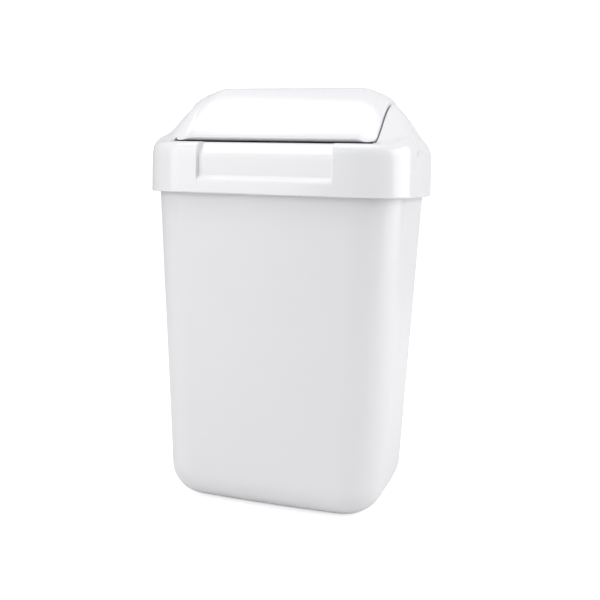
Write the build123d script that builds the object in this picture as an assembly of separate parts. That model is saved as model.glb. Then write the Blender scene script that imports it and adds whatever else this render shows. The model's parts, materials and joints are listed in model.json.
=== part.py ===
"""Swing-lid waste bin: a tapered tub, a lid collar that lifts off, and a flap that swings in the collar.

Millimetres, +Z up, the front faces -Y, the origin is the middle of the base.
"""

import math
import os

from build123d import *

# Overall sizes
overall_width = 372.0
overall_depth = 262.0
overall_height = 580.0

# Tub
tub_height = 447.0
foot_width = 312.0
foot_depth = 218.0
foot_corner = 56.0
foot_rounding = 43.0
tub_wall = 2.2
floor_thickness = 3.0
floor_panel_depth = 1.2
floor_panel_margin = 10.0
rim_reach = 6.5
rim_skin = 2.0
rim_drop = 8.0

# Lid collar
collar_bottom = 435.0
collar_wall = 2.5
collar_corner = 74.0
collar_draft = 0.8
deck_height = 498.0
side_crest_height = 521.0
crest_half_depth = 100.0
deck_rounding = 15.0
seat_rib_thickness = 2.0

# Flap and opening
opening_half_width = 145.5
opening_half_depth = 99.5
throat_bottom = 484.0
flap_half_width = 144.0
flap_wall = 2.2
flap_end_wall = 3.2
flap_lip_return = 9.0
flap_proud = 1.8
pivot_height = 544.0
pin_radius = 4.0
pin_reach = 6.0
socket_outer_radius = 6.4

# Label recess in the front of the collar
recess_half_width = 94.0
recess_depth = 8.0
recess_bottom = 455.0
recess_top = 484.0
recess_bevel_drop = 5.5
recess_skin = 2.2

# Clearances
lid_side_clearance = 2.0
seat_clearance = 0.35
pivot_clearance = 0.08

# Gentle outward bow of every long moulded wall
bow_radius = 1700.0

half_width = overall_width / 2
half_depth = overall_depth / 2

rim_half_width = half_width - collar_wall - lid_side_clearance
rim_half_depth = half_depth - collar_wall - lid_side_clearance
rim_corner = collar_corner - collar_wall - lid_side_clearance
tub_half_width = rim_half_width - rim_reach
tub_half_depth = rim_half_depth - rim_reach
tub_corner = rim_corner - rim_reach
seat_height = tub_height + seat_clearance

# Height and inset of the wall that runs up round the collar's shoulder
shoulder_profile = [
    (478.0, 0.8),
    (486.0, 1.2),
    (492.0, 1.9),
    (498.0, 3.2),
    (504.0, 5.6),
    (511.0, 9.4),
    (519.0, 14.0),
    (530.0, 20.5),
]

# Height, half width, half depth and corner radius of the domed top
dome_profile = [
    (503.5, 183.0, 97.0, 62.0),
    (507.0, 180.0, 91.5, 60.0),
    (513.0, 176.5, 86.0, 58.0),
    (522.0, 172.0, 79.0, 55.0),
    (532.0, 167.0, 70.0, 53.0),
    (543.0, 160.5, 60.0, 48.0),
    (554.0, 151.5, 49.0, 42.0),
    (565.0, 139.0, 36.0, 31.0),
    (576.0, 118.0, 20.0, 17.0),
    (580.0, 104.0, 6.0, 5.0),
]


def outline(half_x, half_y, corner, z):
    """A rectangle with round corners and slightly bowed sides, drawn at height z."""
    reach_x = bow_radius - corner
    offset_y = bow_radius - half_y
    offset_x = bow_radius - half_x
    span = math.hypot(offset_x, offset_y)
    half_chord = math.sqrt(reach_x**2 - (span / 2) ** 2)
    mid_x = -offset_x / 2
    mid_y = -offset_y / 2
    corner_x = mid_x + half_chord * offset_y / span
    corner_y = mid_y + half_chord * offset_x / span
    front_dx = corner_x / reach_x
    front_dy = (corner_y + offset_y) / reach_x
    side_dx = (corner_x + offset_x) / reach_x
    side_dy = corner_y / reach_x
    mid_angle = (math.atan2(front_dy, front_dx) + math.atan2(side_dy, side_dx)) / 2
    long_end = (corner_x + corner * front_dx, corner_y + corner * front_dy)
    side_end = (corner_x + corner * side_dx, corner_y + corner * side_dy)
    middle = (
        corner_x + corner * math.cos(mid_angle),
        corner_y + corner * math.sin(mid_angle),
    )
    arcs = []
    for start, mid, end in [
        ((-long_end[0], long_end[1]), (0.0, half_y), long_end),
        (long_end, middle, side_end),
        (side_end, (half_x, 0.0), (side_end[0], -side_end[1])),
        ((side_end[0], -side_end[1]), (middle[0], -middle[1]), (long_end[0], -long_end[1])),
        ((long_end[0], -long_end[1]), (0.0, -half_y), (-long_end[0], -long_end[1])),
        ((-long_end[0], -long_end[1]), (-middle[0], -middle[1]), (-side_end[0], -side_end[1])),
        ((-side_end[0], -side_end[1]), (-half_x, 0.0), (-side_end[0], side_end[1])),
        ((-side_end[0], side_end[1]), (-middle[0], middle[1]), (-long_end[0], long_end[1])),
    ]:
        arcs.append(Edge.make_three_point_arc((*start, z), (*mid, z), (*end, z)))
    return Face(Wire(arcs))


def prism(half_x, half_y, corner, low, high):
    """A straight block between two heights with the bowed outline."""
    return extrude(outline(half_x, half_y, corner, low), high - low, dir=(0, 0, 1))


def block(x_low, x_high, y_low, y_high, z_low, z_high):
    """A plain box given by its limits."""
    size = (x_high - x_low, y_high - y_low, z_high - z_low)
    centre = ((x_low + x_high) / 2, (y_low + y_high) / 2, (z_low + z_high) / 2)
    return Pos(*centre) * Box(*size)


def tub_form(skin, low):
    """The tapered tub drawn inwards by skin, starting at height low."""
    foot = outline(foot_width / 2 - skin, foot_depth / 2 - skin, foot_corner - skin, low)
    top = outline(tub_half_width - skin, tub_half_depth - skin, tub_corner - skin, tub_height)
    body = loft([foot, top], ruled=True)
    return fillet(body.faces().sort_by(Axis.Z)[0].edges(), foot_rounding - skin)


def shoulder_form(skin):
    """The collar's outside drawn inwards and down by skin: skirt, shoulder slope and waved deck."""
    low = collar_bottom - skin
    first_height, first_inset = shoulder_profile[0]
    skirt = loft(
        [
            outline(half_width - skin, half_depth - skin, collar_corner - skin, low),
            outline(
                half_width - skin - first_inset,
                half_depth - skin - first_inset,
                collar_corner - skin - first_inset,
                first_height - skin,
            ),
        ],
        ruled=True,
    )
    slope = loft(
        [
            outline(
                half_width - skin - inset,
                half_depth - skin - inset,
                collar_corner - skin - inset,
                height - skin,
            )
            for height, inset in shoulder_profile
        ]
    )
    low_edge = deck_height - skin
    high_edge = side_crest_height - skin
    reach = half_depth + 20
    with BuildPart() as roof:
        with BuildSketch(Plane.YZ):
            with BuildLine():
                for side in (-1, 1):
                    Spline(
                        (0, high_edge),
                        (side * crest_half_depth * 0.31, high_edge - 2.2),
                        (side * crest_half_depth * 0.6, high_edge - 8.5),
                        (side * crest_half_depth * 0.8, high_edge - 15.8),
                        (side * crest_half_depth, low_edge),
                        tangents=[(side, 0), (side, -0.06)],
                    )
                    Line((side * crest_half_depth, low_edge), (side * reach, low_edge))
                    Line((side * reach, low_edge), (side * reach, low - 20))
                Line((-reach, low - 20), (reach, low - 20))
            make_face()
        extrude(amount=half_width + 20, both=True)
    body = (skirt + slope) & roof.part
    rim_edges = []
    for edge in body.edges():
        middle = edge @ 0.5
        across = abs((edge % 0.5).X) > 0.99 and abs(middle.Y) < half_depth - 20
        if middle.Z > low_edge - 0.5 and not across:
            rim_edges.append(edge)
    return fillet(rim_edges, deck_rounding - skin)


def dome_form(skin):
    """The domed top drawn inwards and down by skin."""
    levels = []
    for height, half_x, half_y, corner in dome_profile:
        level = RectangleRounded(2 * (half_x - skin), 2 * (half_y - skin), corner - skin)
        levels.append(Pos(0, 0, height - skin) * level)
    return loft(levels)


def make_tub():
    """Tapered tub with a rounded foot, a recessed floor panel and a turned-down rim."""
    rim_low = tub_height - rim_drop
    rim = prism(rim_half_width, rim_half_depth, rim_corner, rim_low, tub_height)
    rim = fillet(rim.faces().sort_by(Axis.Z)[-1].edges(), rim_skin * 0.6)
    channel = prism(
        rim_half_width - rim_skin,
        rim_half_depth - rim_skin,
        rim_corner - rim_skin,
        rim_low,
        tub_height - rim_skin,
    )
    panel_inset = foot_rounding + floor_panel_margin
    panel = prism(
        foot_width / 2 - panel_inset,
        foot_depth / 2 - panel_inset,
        foot_corner - foot_rounding,
        -1,
        floor_panel_depth,
    )
    tub = (rim - channel) + tub_form(0, 0)
    return tub - tub_form(tub_wall, floor_thickness) - panel


def recess_line(skin):
    """Side view of the label recess, pushed back into the lid by skin, as (y, z) points."""
    face = -half_depth + recess_depth + skin
    return [
        (-half_depth - 10, recess_bottom - recess_bevel_drop - skin * 1.2 - 6.9),
        (face, recess_bottom - skin * 0.6),
        (face, recess_top + skin * 0.4),
        (face + 16.0, deck_height + 3.0),
    ]


def recess_cutter():
    """The space cut out of the collar's front for the label."""
    points = recess_line(0)
    points = points + [(-half_depth - 10, deck_height + 3.0)]
    with BuildPart() as cutter:
        with BuildSketch(Plane.YZ):
            with BuildLine():
                Polyline(*points, close=True)
            make_face()
        extrude(amount=recess_half_width, both=True)
    return cutter.part


def recess_pan():
    """The skin that closes the recess from behind, before the recess is cut."""
    with BuildPart() as pan:
        with BuildSketch(Plane.YZ):
            with BuildLine():
                front = -half_depth - 10
                back = -half_depth + recess_depth + recess_skin
                Polyline(
                    (front, seat_height),
                    (back, seat_height),
                    (back, recess_top + recess_skin * 0.4),
                    (back + 12.0, deck_height),
                    (front, deck_height),
                    close=True,
                )
            make_face()
        extrude(amount=recess_half_width + recess_skin, both=True)
    return pan.part


def make_collar():
    """Skirt, shoulder, deck with its opening, two domed cheeks, pivot sockets and seat ribs."""
    shoulder = shoulder_form(0)
    cheek_dome = dome_form(flap_proud)
    cheeks = []
    for side in (-1, 1):
        near = min(side * opening_half_width, side * half_width)
        far = max(side * opening_half_width, side * half_width)
        cheeks.append(cheek_dome & block(near, far, -half_depth, half_depth, 400, 600))
    outside = shoulder + cheeks
    inside = shoulder_form(collar_wall)
    hollow_dome = dome_form(flap_proud + collar_wall)
    throat_x = opening_half_width + collar_wall
    throat_y = opening_half_depth + collar_wall
    for side in (-1, 1):
        near = min(side * throat_x, side * half_width)
        far = max(side * throat_x, side * half_width)
        inside = inside + (hollow_dome & block(near, far, -half_depth, half_depth, 400, 600))
    shell = outside - inside
    throat = block(-throat_x, throat_x, -throat_y, throat_y, throat_bottom, overall_height) & outside
    extras = [throat, recess_pan() & shoulder]
    rib_low = seat_height
    rib_high = deck_height - 6
    rib_back = rim_reach + tub_wall
    for x in (-125, -45, 45, 125):
        span = (x - seat_rib_thickness / 2, x + seat_rib_thickness / 2)
        low_y = rim_half_depth - rib_back - 4
        extras.append(block(*span, low_y, half_depth, rib_low, rib_high) & shoulder)
        if abs(x) > recess_half_width:
            extras.append(block(*span, -half_depth, -low_y, rib_low, rib_high) & shoulder)
    for y in (-50, 0, 50):
        span = (y - seat_rib_thickness / 2, y + seat_rib_thickness / 2)
        low_x = rim_half_width - rib_back
        extras.append(block(low_x, half_width, *span, rib_low, rib_high) & shoulder)
        extras.append(block(-half_width, -low_x, *span, rib_low, rib_high) & shoulder)
    for side in (-1, 1):
        socket_length = pin_reach + collar_wall
        middle = side * (opening_half_width + socket_length / 2)
        socket = Pos(middle, 0, pivot_height) * Rot(0, 90, 0) * Cylinder(socket_outer_radius, socket_length)
        extras.append(socket)
    collar = shell
    for extra in extras:
        collar = collar + extra
    opening = block(
        -opening_half_width,
        opening_half_width,
        -opening_half_depth,
        opening_half_depth,
        throat_bottom - 10,
        overall_height + 10,
    )
    collar = collar - opening - recess_cutter()
    for side in (-1, 1):
        bore_length = pin_reach + 0.8
        middle = side * (opening_half_width + bore_length / 2 - 0.5)
        bore = Pos(middle, 0, pivot_height) * Rot(0, 90, 0)
        collar = collar - bore * Cylinder(pin_radius + pivot_clearance, bore_length + 1)
    return collar


def make_flap():
    """Domed flap with hanging end walls and a stub pin on each end."""
    outer = dome_form(0)
    inner = dome_form(flap_wall)
    foot = dome_profile[0][0]
    slab = block(-flap_half_width, flap_half_width, -half_depth, half_depth, foot - 5, 600)
    inset = flap_half_width - flap_end_wall
    lip = dome_profile[0][2] - flap_wall - flap_lip_return
    core = block(-inset, inset, -half_depth, half_depth, foot + flap_wall, 600)
    mouth = block(-inset, inset, -lip, lip, foot - 10, foot + 2 * flap_wall)
    flap = (outer & slab) - (inner & core) - mouth
    for side in (-1, 1):
        length = pin_reach + flap_end_wall
        middle = side * (flap_half_width - flap_end_wall + length / 2)
        flap = flap + Pos(middle, 0, pivot_height) * Rot(0, 90, 0) * Cylinder(pin_radius, length)
    return flap


def write(name, colour, shape):
    """Save one moulded piece as its own file."""
    solid = shape.solids()
    print(name, len(solid), shape.is_valid, round(shape.volume), shape.bounding_box().min, shape.bounding_box().max, shape.center())
    part = solid.sort_by(SortBy.VOLUME)[-1]
    part.label = name
    part.color = Color(*colour)
    export_step(part, "parts/" + name + ".step")


os.makedirs("parts", exist_ok=True)
grey = (0.86, 0.86, 0.87)
write("tub", grey, make_tub())
write("swing_flap", grey, make_flap())
write("lid_collar", grey, make_collar())
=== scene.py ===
"""Looks for the swing-lid waste bin: glossy moulded tub, lid collar and swinging flap.

Shapes are worked out in millimetres and written to the meshes in metres.
"""

import json
import math

import bpy
import numpy as np
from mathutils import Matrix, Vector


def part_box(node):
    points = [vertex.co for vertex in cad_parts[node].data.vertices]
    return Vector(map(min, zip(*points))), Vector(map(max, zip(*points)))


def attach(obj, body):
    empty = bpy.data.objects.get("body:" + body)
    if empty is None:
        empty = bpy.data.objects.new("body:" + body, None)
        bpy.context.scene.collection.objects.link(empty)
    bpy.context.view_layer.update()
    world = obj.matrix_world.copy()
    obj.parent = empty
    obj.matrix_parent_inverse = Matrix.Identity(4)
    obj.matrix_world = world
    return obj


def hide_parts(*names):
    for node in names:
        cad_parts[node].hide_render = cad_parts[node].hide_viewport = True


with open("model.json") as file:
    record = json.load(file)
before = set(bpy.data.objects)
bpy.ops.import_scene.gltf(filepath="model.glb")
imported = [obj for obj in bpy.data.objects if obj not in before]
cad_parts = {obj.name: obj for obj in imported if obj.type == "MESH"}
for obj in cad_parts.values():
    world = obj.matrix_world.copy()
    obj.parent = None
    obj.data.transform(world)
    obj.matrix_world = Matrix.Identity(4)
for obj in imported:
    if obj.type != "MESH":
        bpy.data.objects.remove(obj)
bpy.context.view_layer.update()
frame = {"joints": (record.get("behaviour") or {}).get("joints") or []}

MM = 1000.0
tub_box = np.array(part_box("tub")) * MM
collar_box = np.array(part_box("lid_collar")) * MM
flap_box = np.array(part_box("swing_flap")) * MM

# Sizes that follow the construction model
half_width = collar_box[1][0]
half_depth = collar_box[1][1]
collar_bottom = collar_box[0][2]
tub_height = tub_box[1][2]
rim_half_width = tub_box[1][0]
rim_half_depth = tub_box[1][1]
flap_top = flap_box[1][2]
flap_foot = flap_box[0][2]
pivot_height = frame["joints"]["flap_swing"]["pos_m"][2] * MM if isinstance(frame["joints"], dict) else [
    joint for joint in frame["joints"] if joint["name"] == "flap_swing"
][0]["pos_m"][2] * MM

BOW = 1700.0
FOOT_HALF_WIDTH = 156.0
FOOT_HALF_DEPTH = 109.0
FOOT_CORNER = 56.0
FOOT_ROUNDING = 43.0
TUB_WALL = 2.2
FLOOR_THICKNESS = 3.0
RIM_REACH = 6.5
RIM_CORNER = 69.5
RIM_SKIN = 2.0
RIM_DROP = 8.0
COLLAR_CORNER = 74.0
COLLAR_WALL = 2.5
DECK = 501.5
CREST = 521.0
CREST_HALF_DEPTH = 100.0
OPEN_X = 139.5
OPEN_Y = 99.5
THROAT_BOTTOM = 487.0
FLAP_X = 138.0
FLAP_WALL = 2.2
FLAP_END_WALL = 3.2
FLAP_LIP_RETURN = 9.0
FLAP_PROUD = 1.8
RECESS_X = 91.0
RECESS_DEPTH = 8.0
RECESS_LOW = 458.5
RECESS_HIGH = 485.5
RECESS_BEVEL = 6.0
PIN_RADIUS = 4.0
PIN_REACH = 6.0


# ---------------------------------------------------------------- mesh help


def grid_faces(rows, columns, close_rows=False, close_columns=False, flip=False):
    """Quads between neighbouring rows and columns of a grid, optionally joined end to end."""
    last_row = rows if close_rows else rows - 1
    last_column = columns if close_columns else columns - 1
    i, j = np.meshgrid(np.arange(last_row), np.arange(last_column), indexing="ij")
    below = (i + 1) % rows
    beside = (j + 1) % columns
    quads = np.stack(
        [i * columns + j, i * columns + beside, below * columns + beside, below * columns + j],
        axis=-1,
    ).reshape(-1, 4)
    return quads[:, ::-1] if flip else quads


def add_piece(name, patches, body, material, node=None):
    """Make one mesh from (points, faces) patches, merge their shared edges and ride it on a body."""
    points = []
    faces = []
    start = 0
    for patch_points, patch_faces in patches:
        flat = np.asarray(patch_points, float).reshape(-1, 3)
        points.append(flat)
        faces.extend([tuple(int(k) + start for k in face) for face in patch_faces])
        start += len(flat)
    mesh = bpy.data.meshes.new(name)
    mesh.from_pydata(np.concatenate(points) / MM, [], faces)
    import bmesh

    work = bmesh.new()
    work.from_mesh(mesh)
    bmesh.ops.remove_doubles(work, verts=work.verts, dist=1e-6)
    bmesh.ops.dissolve_degenerate(work, edges=work.edges, dist=1e-7)
    bmesh.ops.recalc_face_normals(work, faces=work.faces)
    work.to_mesh(mesh)
    work.free()
    mesh.validate()
    mesh.polygons.foreach_set("use_smooth", np.ones(len(mesh.polygons), bool))
    piece = bpy.data.objects.new(name, mesh)
    bpy.context.scene.collection.objects.link(piece)
    piece.data.materials.append(material)
    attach(piece, body)
    if node:
        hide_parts(node)
    return piece


def soft_min(a, b, reach):
    """The lower of two heights with a rounded changeover of the given reach."""
    share = np.clip(0.5 + 0.5 * (b - a) / reach, 0.0, 1.0)
    return b * (1 - share) + a * share - reach * share * (1 - share)


def soft_max(a, b, reach):
    """The higher of two heights with a rounded changeover of the given reach."""
    return -soft_min(-a, -b, reach)


def ease(x):
    """Smooth step from 0 to 1."""
    x = np.clip(x, 0.0, 1.0)
    return x * x * (3 - 2 * x)


def rounded_path(corners, radii, steps=5):
    """A polyline whose corners are replaced by quadratic curves that start a radius from each corner."""
    corners = [np.array(c, float) for c in corners]
    path = [corners[0]]
    for before, here, after, radius in zip(corners, corners[1:], corners[2:], radii):
        if radius <= 0:
            path.append(here)
            continue
        back = before - here
        ahead = after - here
        start = here + back / np.linalg.norm(back) * min(radius, np.linalg.norm(back) * 0.49)
        end = here + ahead / np.linalg.norm(ahead) * min(radius, np.linalg.norm(ahead) * 0.49)
        for t in np.linspace(0, 1, steps):
            path.append(start * (1 - t) ** 2 + here * 2 * t * (1 - t) + end * t**2)
    path.append(corners[-1])
    return np.array(path)


# ---------------------------------------------------------------- outlines


def quarter_angles(half_x, half_y, corner, long_xs, side_ys, corner_steps):
    """Normal angles, from +Y round to +X, at chosen places on the long side, the corner and the short side."""
    cx, cy = corner_centre(half_x, half_y, corner)
    first = math.atan2(cx, cy + BOW - half_y)
    last = math.atan2(cx + BOW - half_x, cy)
    long_part = np.arcsin(np.array(long_xs) / BOW)
    turn = np.linspace(first, last, corner_steps)
    side_part = np.arccos(np.array(side_ys) / BOW)
    return np.concatenate([long_part, turn, side_part])


def corner_centre(half_x, half_y, corner):
    """Centre of the corner arc that touches both bowed sides."""
    reach = BOW - corner
    oy = BOW - half_y
    ox = BOW - half_x
    span = np.hypot(ox, oy)
    half_chord = np.sqrt(reach**2 - (span / 2) ** 2)
    return -ox / 2 + half_chord * oy / span, -oy / 2 + half_chord * ox / span


def quarter_points(angle, half_x, half_y, corner):
    """Point of the bowed outline whose outward normal is (sin, cos) of the angle."""
    cx, cy = corner_centre(half_x, half_y, corner)
    first = np.arctan2(cx, cy + BOW - half_y)
    last = np.arctan2(cx + BOW - half_x, cy)
    s, c = np.sin(angle), np.cos(angle)
    x = np.where(angle < first, BOW * s, np.where(angle > last, half_x - BOW + BOW * s, cx + corner * s))
    y = np.where(angle < first, half_y - BOW + BOW * c, np.where(angle > last, BOW * c, cy + corner * c))
    return x, y


def full_turn(quarter):
    """Signs and quarter indices that carry a quarter's columns once round the outline."""
    count = quarter
    order = np.arange(count)
    back = order[::-1]
    index = np.concatenate([order, back[1:], order[1:], back[1:-1]])
    sign_x = np.concatenate([np.ones(count), np.ones(count - 1), -np.ones(count - 1), -np.ones(count - 2)])
    sign_y = np.concatenate([-np.ones(count), np.ones(count - 1), np.ones(count - 1), -np.ones(count - 2)])
    return index, sign_x, sign_y


# ---------------------------------------------------------------- tub


def tub_points():
    """Tub: one closed profile carried round the bowed outline, closed by poles under and in the floor."""
    tub_x = rim_half_width - RIM_REACH
    tub_y = rim_half_depth - RIM_REACH
    tub_corner = RIM_CORNER - RIM_REACH
    angles = quarter_angles(
        tub_x, tub_y, tub_corner, np.linspace(0, 108, 19), np.linspace(52, 0, 9), 26
    )
    index, sign_x, sign_y = full_turn(len(angles))

    def level(z, skin, rounding, floor):
        """Half sizes of the tapered tub at a height, with its foot rounding."""
        share = (z - floor) / (tub_height - floor)
        x = (FOOT_HALF_WIDTH - skin) * (1 - share) + (tub_x - skin) * share
        y = (FOOT_HALF_DEPTH - skin) * (1 - share) + (tub_y - skin) * share
        r = (FOOT_CORNER - skin) * (1 - share) + (tub_corner - skin) * share
        above = np.clip((z - floor) / rounding, 0, 1)
        inset = rounding * (1 - math.sqrt(max(0.0, 1 - (1 - above) ** 2)))
        return x - inset, y - inset, r - inset

    rows = []
    sole = level(0.0, 0, FOOT_ROUNDING, 0.0)
    for share in (0.0, 0.25, 0.5, 0.72):
        rows.append((sole[0] * share, sole[1] * share, max(sole[2] * share, 0.02), 1.2))
    for margin, z in ((10.9, 1.2), (10.4, 1.1), (10.05, 0.8), (9.8, 0.35), (9.3, 0.05), (8.6, 0.0), (4.0, 0.0)):
        rows.append((sole[0] - margin, sole[1] - margin, max(sole[2] - margin * 0.3, 3.0), z))
    for turn in np.linspace(0.0, math.pi / 2, 17):
        z = FOOT_ROUNDING * (1 - math.cos(turn))
        rows.append((*level(z, 0, FOOT_ROUNDING, 0.0), z))
    for z in np.linspace(FOOT_ROUNDING + 8, tub_height - RIM_DROP - 8, 24):
        rows.append((*level(z, 0, FOOT_ROUNDING, 0.0), z))
    low = tub_height - RIM_DROP
    under = tub_height - RIM_SKIN
    rim = rounded_path(
        [
            (0.05, low - 6),
            (0.05, under),
            (RIM_REACH - RIM_SKIN, under),
            (RIM_REACH - RIM_SKIN, low),
            (RIM_REACH, low),
            (RIM_REACH, tub_height),
            (-TUB_WALL, tub_height),
            (-TUB_WALL, tub_height - 8),
        ],
        [1.5, 1.0, 0.6, 0.6, 1.3, 0.9],
    )
    for out, z in rim:
        wall = level(min(z, tub_height), 0, FOOT_ROUNDING, 0.0)
        rows.append((wall[0] + out, wall[1] + out, wall[2] + out, z))
    for z in np.linspace(tub_height - 14, FLOOR_THICKNESS + FOOT_ROUNDING + 8, 20):
        rows.append((*level(z, TUB_WALL, FOOT_ROUNDING - TUB_WALL, FLOOR_THICKNESS), z))
    for turn in np.linspace(math.pi / 2, 0.0, 15):
        z = FLOOR_THICKNESS + (FOOT_ROUNDING - TUB_WALL) * (1 - math.cos(turn))
        rows.append((*level(z, TUB_WALL, FOOT_ROUNDING - TUB_WALL, FLOOR_THICKNESS), z))
    inner = rows[-1]
    for share in (0.8, 0.5, 0.25, 0.0):
        rows.append((inner[0] * share, inner[1] * share, max(inner[2] * share, 0.02), FLOOR_THICKNESS))
    rows = np.array(rows)
    half_x = np.maximum(rows[:, 0:1], 0.03)
    half_y = np.maximum(rows[:, 1:2], 0.03)
    x, y = quarter_points(angles[None, :], half_x, half_y, rows[:, 2:3])
    x = x[:, index] * sign_x
    y = y[:, index] * sign_y
    z = np.broadcast_to(rows[:, 3:4], x.shape)
    points = np.stack([x, y, z], axis=-1)
    for row in (0, -1):
        points[row, :, :2] = 0.0
    return points


# ---------------------------------------------------------------- dome

DOME_LEVELS = np.array(
    [
        (510.5, 179.5, 93.0, 60.5),
        (513.5, 177.0, 88.5, 58.5),
        (518.0, 174.5, 83.0, 57.0),
        (524.0, 171.0, 77.5, 55.0),
        (532.0, 166.0, 70.5, 53.0),
        (543.0, 158.5, 60.0, 48.0),
        (554.0, 148.5, 48.5, 41.0),
        (565.0, 135.0, 35.5, 30.0),
        (576.0, 113.5, 19.5, 16.0),
    ]
)
DOME_TOP = 580.0
drop_root = np.sqrt(DOME_TOP - DOME_LEVELS[:, 0])
reach_x_fit = np.polyfit(np.append(drop_root, 0.0), np.append(DOME_LEVELS[:, 1], 96.0), 4)
reach_y_fit = np.polyfit(np.append(drop_root, 0.0), np.append(DOME_LEVELS[:, 2], 0.0), 5)
corner_fit = np.polyfit(np.append(drop_root, 0.0), np.append(DOME_LEVELS[:, 3], 0.0), 4)


def dome_level(z):
    """Half width, half depth and corner radius of the dome at a height.

    Smooth curves of sqrt(drop) above the foot, and straight flares below it.
    """
    foot = DOME_LEVELS[0, 0]
    under = np.clip(foot - z, 0.0, 12.0)
    w = np.sqrt(np.maximum(DOME_TOP - np.maximum(z, foot), 0.0))
    half_x = np.polyval(reach_x_fit, w) + 0.55 * under
    half_y = np.maximum(np.polyval(reach_y_fit, w), 0.0) + 1.9 * under
    corner = np.minimum(np.maximum(np.polyval(corner_fit, w), 0.0) + 0.8 * under, half_y)
    return half_x, half_y, corner


def dome_height(x, y):
    """Height of the dome over (x, y): the level whose rounded outline passes through the point."""
    x = np.abs(x)
    y = np.abs(y)
    low = np.full(np.broadcast(x, y).shape, 470.0)
    high = np.full(low.shape, DOME_TOP)
    for _ in range(34):
        middle = (low + high) / 2
        half_x, half_y, corner = dome_level(middle)
        qx = x - half_x + corner
        qy = y - half_y + corner
        outside = np.hypot(np.maximum(qx, 0), np.maximum(qy, 0)) + np.minimum(np.maximum(qx, qy), 0) - corner
        inside = outside < 0
        low = np.where(inside, middle, low)
        high = np.where(inside, high, middle)
    return (low + high) / 2


def slope_factor(height, x, y):
    """How much thicker a wall measures straight down than square to a sloping surface."""
    step = 0.5
    gx = (height(x + step, y) - height(x - step, y)) / (2 * step)
    gy = (height(x, y + step) - height(x, y - step)) / (2 * step)
    return np.sqrt(1 + np.minimum(gx**2 + gy**2, 9.0))


# ---------------------------------------------------------------- flap


LIP_EDGE = 508.5
LIP_CORNER = 9.0
LIP_FLARE_START = 112.0


def lip_line(x):
    """Lower edge of the flap's outer skin at x, as (half depth, height).

    Straight in the middle, flared out and down to the deck near the ends, then turned up round a small corner.
    """
    x = np.abs(x)
    half_x, half_y, corner = 181.0, 97.0, 62.0
    past = np.maximum(x - (half_x - corner), 0.0)
    reach = half_y - corner + np.sqrt(corner**2 - past**2)
    flare = ease((x - LIP_FLARE_START) / 16.0)
    turn = np.maximum(x - (FLAP_X - LIP_CORNER), 0.0)
    lift = LIP_CORNER - np.sqrt(np.maximum(LIP_CORNER**2 - turn**2, 0.0))
    return reach + 2.6 * flare - lift * 0.9, LIP_EDGE - 4.6 * flare + lift * 0.7


def flap_height(x, y):
    """Dome height with a faint raised band inboard of each end; the flared lip at the ends comes from lip_line."""
    band = 0.7 * ease((np.abs(x) - 122.0) / 3.0)
    return dome_height(x, y) + band - 0.7


def flap_patches():
    """Flap: a closed loop of outer skin, lip return and inner skin swept along X, capped at both ends."""
    inner_x = FLAP_X - FLAP_END_WALL
    core = np.linspace(-inner_x + 0.3, inner_x - 0.3, 190)
    near = np.array([inner_x, inner_x + 0.01, inner_x + 1.2, FLAP_X - 1.1, FLAP_X - 0.6, FLAP_X - 0.25, FLAP_X - 0.05, FLAP_X])
    xs = np.concatenate([-near[::-1], core, near])
    edge_drop = np.concatenate([[1.1, 0.65, 0.28, 0.08], np.zeros(len(xs) - 8), [0.08, 0.28, 0.65, 1.1]])
    solid = np.abs(xs) > inner_x + 0.005
    v = np.sin(np.linspace(-1, 1, 131) * math.pi / 2 * 0.86) / math.sin(math.pi / 2 * 0.86)
    x = xs[:, None]
    reach, edge_z = lip_line(x)
    y = v[None, :] * reach
    z = flap_height(np.broadcast_to(x, y.shape), y) - edge_drop[:, None]
    natural = flap_height(x, reach) - edge_drop[:, None]
    pull = ease((np.abs(v) - 0.80) / 0.20)[None, :]
    z = z + (edge_z - natural) * pull
    outer = np.stack([np.broadcast_to(x, y.shape), y, z], -1)
    fold = 6.0 + FLAP_LIP_RETURN
    foot = flap_foot
    roll = (edge_z - foot)[:, 0]
    turns = np.linspace(0.15, 1.0, 8)
    edge = []
    for turn in turns:
        inset = 5.5 * (1 - np.cos(turn * math.pi / 2)) * np.ones(len(xs))
        edge.append((inset, edge_z[:, 0] - roll * np.sin(turn * math.pi / 2)))
    for inset, height in ((fold * 0.6, 0.0), (fold - 0.5, 0.0), (fold, 0.5), (fold, FLAP_WALL - 0.4), (fold - 0.4, FLAP_WALL)):
        edge.append((np.full(len(xs), inset), np.full(len(xs), foot + height)))
    back = np.stack([np.stack([xs, reach[:, 0] - i, h], -1) for i, h in edge], 1)
    front = back[:, ::-1] * np.array([1, -1, 1])
    vi = np.sin(np.linspace(1, -1, 91) * math.pi / 2 * 0.86) / math.sin(math.pi / 2 * 0.86)
    yi = vi[None, :] * (reach - FLAP_WALL - 3.0)
    xi = np.broadcast_to(x, yi.shape)
    zi = dome_height(xi, yi) - 0.7 - FLAP_WALL * slope_factor(dome_height, xi, yi)
    zi = np.maximum(zi, foot + FLAP_WALL)
    inner = np.stack([xi, yi, zi], -1)
    loop = np.concatenate([outer, back, inner, front], axis=1)
    inner_part = slice(outer.shape[1] + 8, loop.shape[1] - 8)
    flat = loop[:, inner_part].copy()
    flat[..., 2] = foot
    loop[:, inner_part] = np.where(solid[:, None, None], flat, loop[:, inner_part])
    columns = loop.shape[1]
    patches = [(loop, grid_faces(len(xs), columns, close_columns=True))]
    for end in (0, -1):
        arch = np.concatenate([front[end][-8:], outer[end], back[end][:8]])
        bottom = arch.copy()
        bottom[:, 2] = foot
        share = np.linspace(0, 1, 12)[:, None, None]
        cap = arch[None] * (1 - share) + bottom[None] * share
        patches.append((cap, grid_faces(12, len(arch))))
    for side in (-1, 1):
        patches.append(stub_pin(side))
    return patches


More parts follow.
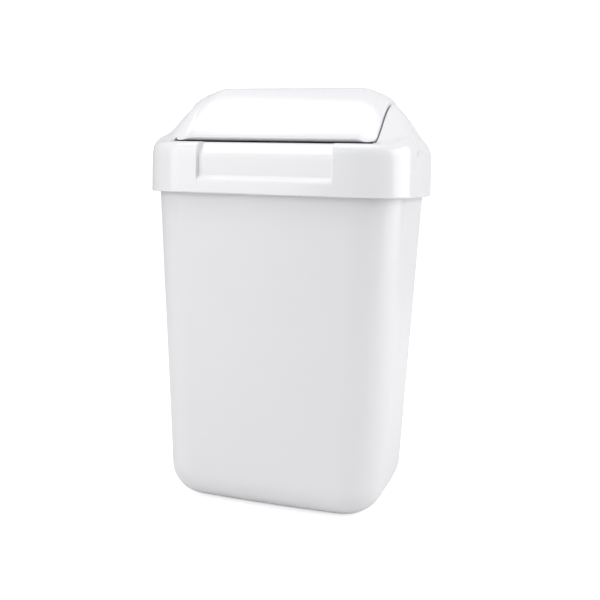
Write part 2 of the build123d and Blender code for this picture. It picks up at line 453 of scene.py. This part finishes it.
def stub_pin(side):
    """Stub pin: a small profile turned about the pivot line, with a rounded nose."""
    start = FLAP_X - 1.0
    profile = np.array(
        [
            (start, 0.0),
            (start, PIN_RADIUS + 1.0),
            (FLAP_X + 0.15, PIN_RADIUS + 0.6),
            (FLAP_X + 0.7, PIN_RADIUS),
            (FLAP_X + PIN_REACH - 1.2, PIN_RADIUS),
            (FLAP_X + PIN_REACH - 0.4, PIN_RADIUS - 0.4),
            (FLAP_X + PIN_REACH, PIN_RADIUS - 1.2),
            (FLAP_X + PIN_REACH, 0.0),
        ]
    )
    turn = np.linspace(0, 2 * math.pi, 40, endpoint=False)
    radius = profile[:, 1:2]
    points = np.stack(
        [
            np.broadcast_to(profile[:, 0:1] * side, (len(profile), 40)),
            radius * np.cos(turn),
            pivot_height + radius * np.sin(turn),
        ],
        -1,
    )
    return points, grid_faces(len(profile), 40, close_columns=True)


# ---------------------------------------------------------------- collar

SHOULDER = np.array(
    [
        (478.0, 0.8),
        (486.0, 1.2),
        (492.0, 1.9),
        (498.0, 3.2),
        (504.0, 5.6),
        (511.0, 9.4),
        (519.0, 14.0),
        (530.0, 20.5),
    ]
)
shoulder_fit = np.polyfit(SHOULDER[:, 0] - 478.0, SHOULDER[:, 1], 4)


def wall_inset(z):
    """How far the collar's wall stands in from the skirt's foot at a height."""
    skirt = 0.8 * (z - collar_bottom) / (478.0 - collar_bottom)
    upper = np.polyval(shoulder_fit, np.clip(z, 478.0, 530.0) - 478.0)
    beyond = np.maximum(z - 530.0, 0.0) * 0.6
    return np.where(z < 478.0, skirt, upper + beyond)


def deck_height(y):
    """Height of the deck across the lid: flat at front and back, a smooth hump at the sides."""
    share = np.clip(np.abs(y) / CREST_HALF_DEPTH, 0, 1)
    return DECK + (CREST - DECK) * (1 - share**2) ** 1.35


def cheek_height(x, y):
    """Dome height of the cheeks, a little lower and smaller than the flap."""
    grow_x = np.abs(x) + FLAP_PROUD
    grow_y = np.abs(y) + FLAP_PROUD * np.clip(np.abs(y) / 6.0, 0, 1)
    return dome_height(grow_x, grow_y) - FLAP_PROUD


def collar_columns():
    """Columns round the collar: angles, and the matching points on the edge of the opening."""
    side_wall = RECESS_X + 0.9 - np.linspace(0, 1.8, 9)[::-1]
    long_xs = np.concatenate([np.linspace(0, RECESS_X - 1.4, 24), side_wall, np.linspace(RECESS_X + 2.2, 108, 5)])
    cx, cy = corner_centre(half_width, half_depth, COLLAR_CORNER)
    first = math.atan2(cx, cy + BOW - half_depth)
    last = math.atan2(cx + BOW - half_width, cy)
    turn = np.linspace(first, last, 56)
    side_ys = np.linspace(cy - 1.5, 0, 22)
    angles = np.concatenate([np.arcsin(long_xs / BOW), turn, np.arccos(side_ys / BOW)])
    radius = 3.0
    straight = np.stack([long_xs, np.full(len(long_xs), OPEN_Y)], -1)
    share = np.linspace(0, 1, 56)
    lead = long_xs[-1] + 2.0
    edge_share = 0.40
    arc_share = 0.50
    along = lead + (OPEN_X - radius - lead) * np.clip(share / edge_share, 0, 1)
    arc = np.clip((share - edge_share) / (arc_share - edge_share), 0, 1) * math.pi / 2
    down = np.clip((share - arc_share) / (1 - arc_share), 0, 1)
    end_y = cy + 0.8
    ox = np.where(share < edge_share, along, OPEN_X - radius + radius * np.sin(arc))
    oy = np.where(share < arc_share, OPEN_Y - radius + radius * np.cos(arc), OPEN_Y - radius - down * (OPEN_Y - radius - end_y))
    corner = np.stack([ox, oy], -1)
    side = np.stack([np.full(len(side_ys), OPEN_X), side_ys], -1)
    return angles, np.concatenate([straight, corner, side]), long_xs


def recess_profile(rows_z, limit_y):
    """Side line of the recess as (distance out from the middle, height), a rounded polyline that the rows are spread
    along afterwards.
    """
    face = half_depth - RECESS_DEPTH
    low = RECESS_LOW - RECESS_BEVEL
    return rounded_path(
        [
            (half_depth - wall_inset(np.array(low - 4.0)), low - 4.0),
            (half_depth - wall_inset(np.array(low)), low),
            (face, RECESS_LOW),
            (face, RECESS_HIGH),
            (face - 13.0, DECK - 0.6),
            (OPEN_Y, DECK),
        ],
        [0.8, 0.8, 3.5, 6.0],
        steps=7,
    )


def collar_points():
    """Collar: rows run up the skirt, over the shoulder to the opening, down the throat and back inside."""
    angles, opening, long_xs = collar_columns()
    ax, ay = quarter_points(angles[None, :], half_width, half_depth, COLLAR_CORNER)
    normal = np.stack([np.sin(angles), np.cos(angles)], -1)
    base = np.stack([ax[0], ay[0]], -1)

    face = half_depth - RECESS_DEPTH
    low = RECESS_LOW - RECESS_BEVEL
    skirt_z = np.concatenate([[collar_bottom + 0.9], np.linspace(collar_bottom + 2, low - 1.2, 6), np.linspace(low - 0.6, RECESS_LOW + 1.5, 14), np.linspace(RECESS_LOW + 3, 476, 9)])
    wall_z = np.linspace(477.5, 533.0, 44)
    skirt = np.stack([wall_inset(skirt_z), skirt_z], -1)
    wall = np.stack([wall_inset(wall_z), wall_z], -1)
    rows = np.concatenate([skirt, wall])
    plan = base[None] - rows[:, 0:1, None] * normal[None]
    share = np.linspace(0, 1, 31)[1:]
    deck_plan = plan[-1][None] * (1 - share[:, None, None]) + opening[None] * share[:, None, None]
    plan = np.concatenate([plan, deck_plan])
    rise = np.concatenate([rows[:, 1], rows[-1, 1] + share * 25.0])
    deck = deck_height(plan[..., 1])
    z = soft_min(np.broadcast_to(rise[:, None], deck.shape), deck, 15.0)
    cheek = cheek_height(plan[..., 0], plan[..., 1])
    weight = ease((plan[..., 0] - 126.0) / 16.0)
    raised = soft_max(z, cheek, 3.0)
    z = z * (1 - weight) + np.maximum(raised, z) * weight
    z[: len(skirt)] = skirt_z[:, None]

    # The recess: its own side line for the front columns, joined by a short rounded side wall.
    count = len(long_xs)
    blend = 1 - ease((long_xs - (RECESS_X - 0.9)) / 1.8)
    total = plan.shape[0]
    start = 3
    target = recess_profile(None, None)
    length = np.concatenate([[0], np.cumsum(np.hypot(*np.diff(target, axis=0).T))])
    own = np.stack([plan[start:, 0, 1], z[start:, 0]], -1)
    own_length = np.concatenate([[0], np.cumsum(np.hypot(*np.diff(own, axis=0).T))])
    pace = own_length / own_length[-1]
    place = np.interp(pace, length / length[-1], np.arange(len(target)))
    recess_y = np.interp(place, np.arange(len(target)), target[:, 0])
    recess_z = np.interp(place, np.arange(len(target)), target[:, 1])
    inset_bow = BOW - np.sqrt(BOW**2 - long_xs**2)
    front_plan = plan.copy()
    front_z = z.copy()
    line_y = recess_y[:, None] - inset_bow[None] * np.clip((recess_y[:, None] - face) / RECESS_DEPTH, 0, 1)
    front_plan[start:, :count, 0] = plan[start:, :count, 0] * (1 - blend) + long_xs * blend
    front_plan[start:, :count, 1] = plan[start:, :count, 1] * (1 - blend) + line_y * blend
    front_z[start:, :count] = z[start:, :count] * (1 - blend) + recess_z[:, None] * blend

    front_outer = np.concatenate([front_plan, front_z[..., None]], -1)
    back_outer = np.concatenate([plan, z[..., None]], -1)
    index, sign_x, sign_y = full_turn(len(angles))
    outer = np.where((sign_y < 0)[None, :, None], front_outer[:, index], back_outer[:, index])
    outer = outer * np.stack([sign_x, sign_y, np.ones(len(sign_x))], -1)[None]

    # Thickness: the inner skin is the outer one moved in along its normals.
    across = np.roll(outer, -1, axis=1) - np.roll(outer, 1, axis=1)
    along = np.gradient(outer, axis=0)
    square = np.cross(across, along)
    square /= np.maximum(np.linalg.norm(square, axis=-1, keepdims=True), 1e-9)
    outward = np.sign(np.sum(square[0] * outer[0] * np.array([1, 1, 0]), -1)).mean()
    square *= np.sign(outward)
    inner = outer - COLLAR_WALL * square
    inner[:, :, 2] = np.minimum(inner[:, :, 2], outer[:, :, 2] - 0.2 * (outer[:, :, 2] > 480))
    edge = (opening[index] * np.stack([sign_x, sign_y], -1))
    skin = 2.3
    push = np.stack([np.abs(edge[:, 0]) >= OPEN_X - 1e-6, np.abs(edge[:, 1]) >= OPEN_Y - 1e-6], -1)
    throat_out = edge + np.where(push, np.sign(edge) * skin, 0.0)
    corner_zone = ~push.any(-1)
    throat_out[corner_zone] = edge[corner_zone] + np.sign(edge[corner_zone]) * skin
    in_x = np.abs(inner[..., 0]) < OPEN_X + skin
    in_y = np.abs(inner[..., 1]) < OPEN_Y + skin
    caught = in_x & in_y
    gap_x = OPEN_X + skin - np.abs(inner[..., 0])
    gap_y = OPEN_Y + skin - np.abs(inner[..., 1])
    move_x = caught & (gap_x <= gap_y)
    move_y = caught & ~move_x
    inner[..., 0] = np.where(move_x, np.sign(inner[..., 0]) * (OPEN_X + skin), inner[..., 0])
    inner[..., 1] = np.where(move_y, np.sign(inner[..., 1]) * (OPEN_Y + skin), inner[..., 1])

    top = outer[-1]
    throat = []
    for out, drop in ((-0.0, 0.0),):
        throat.append(np.concatenate([edge, (top[:, 2] - 0.9)[:, None]], -1))
    for share in np.linspace(0.12, 1.0, 7):
        height = (top[:, 2] - 0.9) * (1 - share) + (THROAT_BOTTOM + 0.5) * share
        throat.append(np.concatenate([edge, height[:, None]], -1))
    throat.append(np.concatenate([edge * 0.65 + throat_out * 0.35, np.full((len(edge), 1), THROAT_BOTTOM)], -1))
    throat.append(np.concatenate([edge * 0.3 + throat_out * 0.7, np.full((len(edge), 1), THROAT_BOTTOM)], -1))
    under = inner[-1, :, 2] - 1.0
    for share in np.linspace(0.0, 1.0, 6):
        height = (THROAT_BOTTOM + 0.5) * (1 - share) + under * share
        throat.append(np.concatenate([throat_out, height[:, None]], -1))
    throat = np.array(throat)
    lip = outer[-1] + 0.0
    soft = outer[-1] * 0.45 + outer[-2] * 0.55
    outer[-1] = lip * np.array([1, 1, 1]) - np.array([0, 0, 0.25])
    hem = outer[0].copy()
    hem[:, 2] = collar_bottom
    hem_out = hem.copy()
    hem_out[:, :2] -= hem[:, :2] / np.linalg.norm(hem[:, :2], axis=1, keepdims=True) * 1.1
    hem_in = inner[0].copy()
    hem_in[:, 2] = collar_bottom
    hem_mid = hem_in * 0.8 + hem_out * 0.2
    loops = np.concatenate([hem_out[None], outer, throat, inner[::-1][1:], hem_in[None], hem_mid[None]])
    return loops


def bar(x_range, y_range, z_range, bevel=0.4):
    """A small bar with eased edges: a rounded outline drawn at four heights and closed at both ends."""
    (x0, x1), (y0, y1), (z0, z1) = x_range, y_range, z_range
    cx, cy = (x0 + x1) / 2, (y0 + y1) / 2
    hx, hy = abs(x1 - x0) / 2, abs(y1 - y0) / 2
    turn = np.linspace(0, 2 * math.pi, 24, endpoint=False)
    px = np.sign(np.cos(turn)) * (hx - bevel) + bevel * np.cos(turn)
    py = np.sign(np.sin(turn)) * (hy - bevel) + bevel * np.sin(turn)
    rings = []
    for shrink, z in ((bevel, z0), (0.0, z0 + bevel), (0.0, z1 - bevel), (bevel, z1)):
        kx = (hx - shrink) / hx
        ky = (hy - shrink) / hy
        rings.append(np.stack([cx + px * kx, cy + py * ky, np.full(24, z)], -1))
    first = rings[0] * 0 + np.array([cx, cy, z0])
    last = rings[0] * 0 + np.array([cx, cy, z1])
    points = np.array([first, *rings, last])
    return points, grid_faces(6, 24, close_columns=True)


def collar_patches():
    """The collar shell with its seat ribs and pivot sockets."""
    shell = collar_points()
    patches = [(shell, grid_faces(shell.shape[0], shell.shape[1], close_rows=True, close_columns=True))]
    seat = tub_height + 0.35
    top = DECK - 6.0
    for x in (-125, -45, 45, 125):
        patches.append(bar((x - 1, x + 1), (rim_half_depth - 12.5, half_depth - 1.6), (seat, 480.0)))
        if abs(x) > RECESS_X:
            patches.append(bar((x - 1, x + 1), (-half_depth + 1.6 + 5, -rim_half_depth + 12.5), (seat, 480.0)))
    for y in (-50, 0, 50):
        for side in (-1, 1):
            patches.append(bar((side * (rim_half_width - 8.7), side * (half_width - 1.6)), (y - 1, y + 1), (seat, top)))
    for side in (-1, 1):
        turn = np.linspace(0, 2 * math.pi, 40, endpoint=False)
        profile = np.array(
            [
                (OPEN_X + 0.25, PIN_RADIUS + 0.6),
                (OPEN_X + 0.6, PIN_RADIUS + 0.09),
                (OPEN_X + PIN_REACH - 0.2, PIN_RADIUS + 0.09),
                (OPEN_X + PIN_REACH - 0.2, 0.0),
                (OPEN_X + PIN_REACH + 2.0, 0.0),
                (OPEN_X + PIN_REACH + 2.0, 6.0),
                (OPEN_X + PIN_REACH + 1.6, 6.4),
                (OPEN_X + 0.25, 6.4),
            ]
        )
        radius = profile[:, 1:2]
        points = np.stack(
            [
                np.broadcast_to(profile[:, 0:1] * side, (len(profile), 40)),
                radius * np.cos(turn),
                pivot_height + radius * np.sin(turn),
            ],
            -1,
        )
        patches.append((points, grid_faces(len(profile), 40, close_rows=True, close_columns=True)))
    return patches


# ---------------------------------------------------------------- materials


def link(tree, source, target):
    tree.links.new(source, target)


def moulded_group():
    """Surface of moulded plastic: faint tone drift, gloss drift, fine grain and hairline scuffs."""
    group = bpy.data.node_groups.new("moulded_surface", "ShaderNodeTree")
    face = group.interface
    for name, kind, default in (
        ("Colour", "NodeSocketColor", (0.8, 0.8, 0.8, 1.0)),
        ("Tone drift", "NodeSocketFloat", 0.02),
        ("Roughness", "NodeSocketFloat", 0.25),
        ("Gloss drift", "NodeSocketFloat", 0.05),
        ("Grain size", "NodeSocketFloat", 900.0),
        ("Grain depth", "NodeSocketFloat", 0.02),
        ("Scuffs", "NodeSocketFloat", 0.3),
    ):
        socket = face.new_socket(name=name, in_out="INPUT", socket_type=kind)
        socket.default_value = default
    face.new_socket(name="Colour", in_out="OUTPUT", socket_type="NodeSocketColor")
    face.new_socket(name="Roughness", in_out="OUTPUT", socket_type="NodeSocketFloat")
    face.new_socket(name="Normal", in_out="OUTPUT", socket_type="NodeSocketVector")
    nodes = group.nodes
    enter = nodes.new("NodeGroupInput")
    leave = nodes.new("NodeGroupOutput")
    place = nodes.new("ShaderNodeTexCoord")

    def noise(scale, detail, rough=0.5):
        node = nodes.new("ShaderNodeTexNoise")
        node.inputs["Scale"].default_value = scale
        node.inputs["Detail"].default_value = detail
        node.inputs["Roughness"].default_value = rough
        link(group, place.outputs["Object"], node.inputs["Vector"])
        return node

    def math_node(kind, a, b=None, c=None):
        node = nodes.new("ShaderNodeMath")
        node.operation = kind
        for slot, value in enumerate((a, b, c)):
            if value is None:
                continue
            if isinstance(value, (int, float)):
                node.inputs[slot].default_value = value
            else:
                link(group, value, node.inputs[slot])
        return node.outputs[0]

    cloud = noise(9.0, 3.0)
    centred = math_node("SUBTRACT", cloud.outputs["Fac"], 0.5)
    tone = math_node("MULTIPLY_ADD", centred, enter.outputs["Tone drift"], 1.0)
    shade = nodes.new("ShaderNodeVectorMath")
    shade.operation = "SCALE"
    link(group, enter.outputs["Colour"], shade.inputs[0])
    link(group, tone, shade.inputs["Scale"])
    link(group, shade.outputs[0], leave.inputs["Colour"])

    patchy = noise(26.0, 4.0, 0.6)
    patch = math_node("SUBTRACT", patchy.outputs["Fac"], 0.5)
    stretch = nodes.new("ShaderNodeMapping")
    stretch.inputs["Rotation"].default_value = (0.3, 0.5, 0.9)
    stretch.inputs["Scale"].default_value = (8.0, 240.0, 240.0)
    link(group, place.outputs["Object"], stretch.inputs["Vector"])
    hairs = nodes.new("ShaderNodeTexNoise")
    hairs.inputs["Scale"].default_value = 2.0
    hairs.inputs["Detail"].default_value = 2.0
    link(group, stretch.outputs[0], hairs.inputs["Vector"])
    thin = nodes.new("ShaderNodeMapRange")
    thin.inputs["From Min"].default_value = 0.66
    thin.inputs["From Max"].default_value = 0.74
    link(group, hairs.outputs["Fac"], thin.inputs["Value"])
    worn = noise(5.0, 2.0)
    where = nodes.new("ShaderNodeMapRange")
    where.inputs["From Min"].default_value = 0.5
    where.inputs["From Max"].default_value = 0.62
    link(group, worn.outputs["Fac"], where.inputs["Value"])
    scuff = math_node("MULTIPLY", thin.outputs[0], where.outputs[0])
    scuff = math_node("MULTIPLY", scuff, enter.outputs["Scuffs"])
    rough = math_node("MULTIPLY_ADD", patch, enter.outputs["Gloss drift"], enter.outputs["Roughness"])
    rough = math_node("MULTIPLY_ADD", scuff, 0.18, rough)
    link(group, rough, leave.inputs["Roughness"])

    grain = nodes.new("ShaderNodeTexNoise")
    grain.inputs["Detail"].default_value = 2.0
    link(group, place.outputs["Object"], grain.inputs["Vector"])
    link(group, enter.outputs["Grain size"], grain.inputs["Scale"])
    height = math_node("MULTIPLY_ADD", scuff, -0.25, grain.outputs["Fac"])
    bump = nodes.new("ShaderNodeBump")
    bump.inputs["Distance"].default_value = 0.0004
    link(group, enter.outputs["Grain depth"], bump.inputs["Strength"])
    link(group, height, bump.inputs["Height"])
    link(group, bump.outputs[0], leave.inputs["Normal"])
    return group


moulded = moulded_group()


def plastic(name, colour, roughness, gloss_drift, grain, depth, scuffs, coat):
    """A moulded plastic built on the shared surface group."""
    material = bpy.data.materials.new(name)
    material.use_nodes = True
    tree = material.node_tree
    shader = tree.nodes["Principled BSDF"]
    surface = tree.nodes.new("ShaderNodeGroup")
    surface.node_tree = moulded
    surface.inputs["Colour"].default_value = (*colour, 1.0)
    surface.inputs["Roughness"].default_value = roughness
    surface.inputs["Gloss drift"].default_value = gloss_drift
    surface.inputs["Grain size"].default_value = grain
    surface.inputs["Grain depth"].default_value = depth
    surface.inputs["Scuffs"].default_value = scuffs
    link(tree, surface.outputs["Colour"], shader.inputs["Base Color"])
    link(tree, surface.outputs["Roughness"], shader.inputs["Roughness"])
    link(tree, surface.outputs["Normal"], shader.inputs["Normal"])
    shader.inputs["IOR"].default_value = 1.49
    shader.inputs["Coat Weight"].default_value = coat
    shader.inputs["Coat Roughness"].default_value = 0.08
    return material


tub_plastic = plastic("tub_satin_plastic", (0.66, 0.66, 0.68), 0.30, 0.06, 1400.0, 0.05, 0.5, 0.0)
lid_plastic = plastic("lid_gloss_plastic", (0.68, 0.68, 0.70), 0.20, 0.04, 1400.0, 0.03, 0.4, 0.0)

# ---------------------------------------------------------------- pieces

tub = tub_points()
add_piece("tub_shell", [(tub, grid_faces(tub.shape[0], tub.shape[1], close_columns=True))], "tub", tub_plastic, "tub")
add_piece("lid_collar_shell", collar_patches(), "lid", lid_plastic, "lid_collar")
add_piece("swing_flap_shell", flap_patches(), "flap", lid_plastic, "swing_flap")

# ---------------------------------------------------------------- studio


def studio_floor():
    """A wide white floor that curves up behind the bin, white to the camera and pale in reflections."""
    s = np.linspace(0, 1, 40)
    bend = 1.0
    run = np.concatenate([np.linspace(-3.0, 2.2, 20), 2.2 + bend * np.sin(np.linspace(0, math.pi / 2, 20)), [3.2]])
    rise = np.concatenate([np.zeros(20), bend * (1 - np.cos(np.linspace(0, math.pi / 2, 20))), [4.5]])
    across = np.linspace(-4.5, 4.5, 12)
    points = np.stack(
        [
            np.broadcast_to(across[None, :], (len(run), 12)),
            np.broadcast_to(run[:, None], (len(run), 12)),
            np.broadcast_to(rise[:, None], (len(run), 12)),
        ],
        -1,
    )
    mesh = bpy.data.meshes.new("studio_floor")
    mesh.from_pydata(points.reshape(-1, 3), [], [tuple(int(k) for k in f) for f in grid_faces(len(run), 12)])
    mesh.polygons.foreach_set("use_smooth", np.ones(len(mesh.polygons), bool))
    floor = bpy.data.objects.new("studio_floor", mesh)
    bpy.context.scene.collection.objects.link(floor)
    material = bpy.data.materials.new("studio_white")
    material.use_nodes = True
    tree = material.node_tree
    shader = tree.nodes["Principled BSDF"]
    shader.inputs["Base Color"].default_value = (0.8, 0.8, 0.8, 1)
    shader.inputs["Roughness"].default_value = 0.7
    glow = tree.nodes.new("ShaderNodeEmission")
    glow.inputs["Strength"].default_value = 0.6
    both = tree.nodes.new("ShaderNodeAddShader")
    path = tree.nodes.new("ShaderNodeLightPath")
    mix = tree.nodes.new("ShaderNodeMixShader")
    link(tree, shader.outputs[0], both.inputs[0])
    link(tree, glow.outputs[0], both.inputs[1])
    link(tree, path.outputs["Is Camera Ray"], mix.inputs[0])
    link(tree, shader.outputs[0], mix.inputs[1])
    link(tree, both.outputs[0], mix.inputs[2])
    link(tree, mix.outputs[0], tree.nodes["Material Output"].inputs[0])
    floor.data.materials.append(material)


def soft_light(name, place, target, width, height, power):
    """A rectangular soft box that faces a point."""
    data = bpy.data.lights.new(name, "AREA")
    data.shape = "RECTANGLE"
    data.size = width
    data.size_y = height
    data.energy = power
    lamp = bpy.data.objects.new(name, data)
    from mathutils import Vector

    lamp.location = place
    lamp.rotation_euler = (Vector(target) - Vector(place)).to_track_quat("-Z", "Y").to_euler()
    bpy.context.scene.collection.objects.link(lamp)
    return lamp


studio_floor()
soft_light("front_left_box", (-1.35, -2.1, 1.15), (0, 0, 0.35), 2.2, 1.8, 36)
soft_light("right_box", (2.15, 0.45, 1.0), (0, 0, 0.3), 1.9, 1.9, 42)
soft_light("top_box", (-0.2, -0.5, 2.5), (0, 0, 0.3), 2.4, 1.8, 36)

world = bpy.data.worlds.new("studio_air")
bpy.context.scene.world = world
world.use_nodes = True
tree = world.node_tree
sky = tree.nodes["Background"]
sky.inputs["Color"].default_value = (1, 1, 1, 1)
sky.inputs["Strength"].default_value = 0.36
bright = tree.nodes.new("ShaderNodeBackground")
bright.inputs["Strength"].default_value = 1.0
path = tree.nodes.new("ShaderNodeLightPath")
mix = tree.nodes.new("ShaderNodeMixShader")
link(tree, path.outputs["Is Camera Ray"], mix.inputs[0])
link(tree, sky.outputs[0], mix.inputs[1])
link(tree, bright.outputs[0], mix.inputs[2])
link(tree, mix.outputs[0], tree.nodes["World Output"].inputs[0])

# ---------------------------------------------------------------- camera


def place_camera():
    """Camera near the front, a little to the right, at the height of the collar and tipped down."""
    azimuth = math.radians(18.5)
    distance = 1.198
    eye_height = 0.469
    pitch = math.radians(8.89)
    roll = math.radians(1.33)
    yaw = math.radians(0.61)
    focal_share = 838.5 / 600
    right = np.array([math.cos(azimuth), math.sin(azimuth), 0.0])
    ahead = np.array([-math.sin(azimuth), math.cos(azimuth), 0.0])
    up = np.array([0.0, 0.0, 1.0])
    place = -ahead * distance + up * eye_height
    ahead, right = ahead * math.cos(yaw) + right * math.sin(yaw), right * math.cos(yaw) - ahead * math.sin(yaw)
    tipped = ahead * math.cos(pitch) - up * math.sin(pitch)
    lifted = up * math.cos(pitch) + ahead * math.sin(pitch)
    x_axis = right * math.cos(roll) + lifted * math.sin(roll)
    y_axis = -right * math.sin(roll) + lifted * math.cos(roll)
    from mathutils import Matrix

    data = bpy.data.cameras.new("camera")
    data.sensor_width = 36.0
    data.lens = 36.0 * focal_share
    camera = bpy.data.objects.new("camera", data)
    rows = [[float(x_axis[i]), float(y_axis[i]), float(-tipped[i]), float(place[i])] for i in range(3)]
    camera.matrix_world = Matrix(rows + [[0, 0, 0, 1]])
    bpy.context.scene.collection.objects.link(camera)
    bpy.context.scene.camera = camera


place_camera()
bpy.context.scene.view_settings.view_transform = "Standard"
